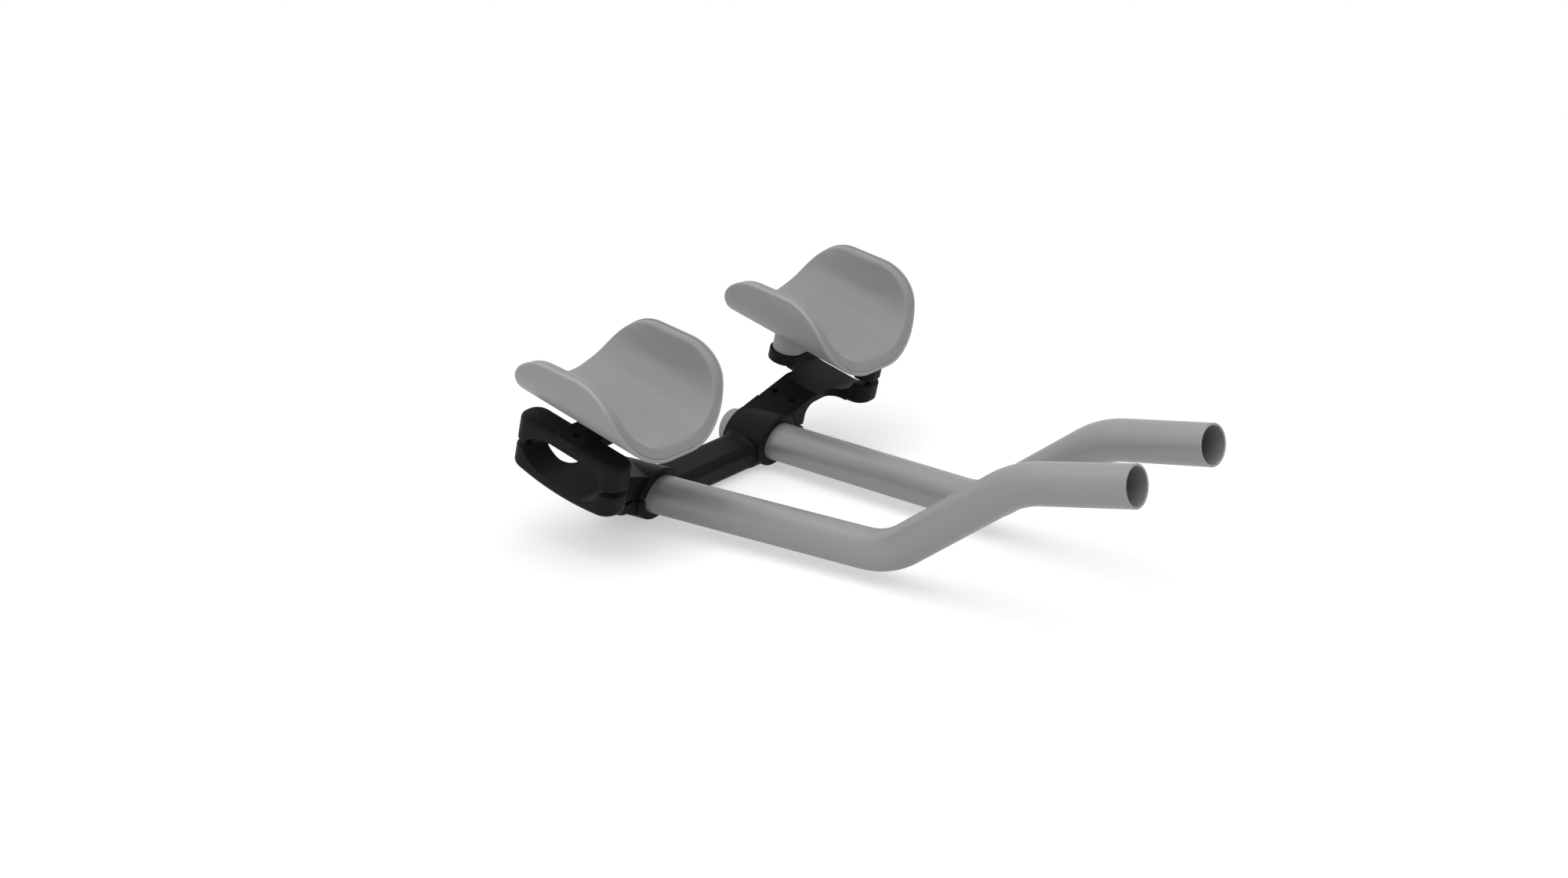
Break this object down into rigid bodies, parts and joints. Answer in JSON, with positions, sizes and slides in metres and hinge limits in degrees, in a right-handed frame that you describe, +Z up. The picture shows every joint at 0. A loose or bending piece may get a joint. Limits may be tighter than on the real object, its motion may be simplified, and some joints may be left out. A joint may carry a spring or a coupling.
{
  "type": "aero handlebar extension",
  "caption": "Clip-on aero handlebar extension: bar clamps, a hooked centre bridge, S-bend tubes and padded armrests.",
  "frame": {"origin": "on the axis of the handlebar that the clamps close on, midway between the two bar clamps", "axes": "+X across towards the rider's left along the handlebar, -Y forward along the tubes, +Z up"},
  "size_m": [0.2604, 0.3409, 0.1101],
  "materials": {
    "black_alloy": "satin black anodised",
    "grey_alloy": "satin grey anodised",
    "grey_plastic": "satin grey",
    "grey_foam": "fabric-faced foam",
    "strip_fabric": "hook and loop",
    "black_steel": "black oxide",
    "bright_steel": "plain zinc"
  },
  "bodies": {
    "root": {"centre_bridge": "black_alloy", "left_upper_clamp": "black_alloy", "left_lower_clamp": "black_alloy", "left_extension_tube": "grey_alloy", "left_armrest_cup": "grey_plastic", "left_armrest_pad": "grey_foam", "left_pad_strips": "strip_fabric", "left_bar_clamp_bolts": "black_steel", "left_bridge_bolts": "black_steel", "left_armrest_bolts": "black_steel", "left_armrest_washers": "bright_steel", "right_upper_clamp": "black_alloy", "right_lower_clamp": "black_alloy", "right_extension_tube": "grey_alloy", "right_armrest_cup": "grey_plastic", "right_armrest_pad": "grey_foam", "right_pad_strips": "strip_fabric", "right_bar_clamp_bolts": "black_steel", "right_bridge_bolts": "black_steel", "right_armrest_bolts": "black_steel", "right_armrest_washers": "bright_steel"}
  },
  "joints": []
}
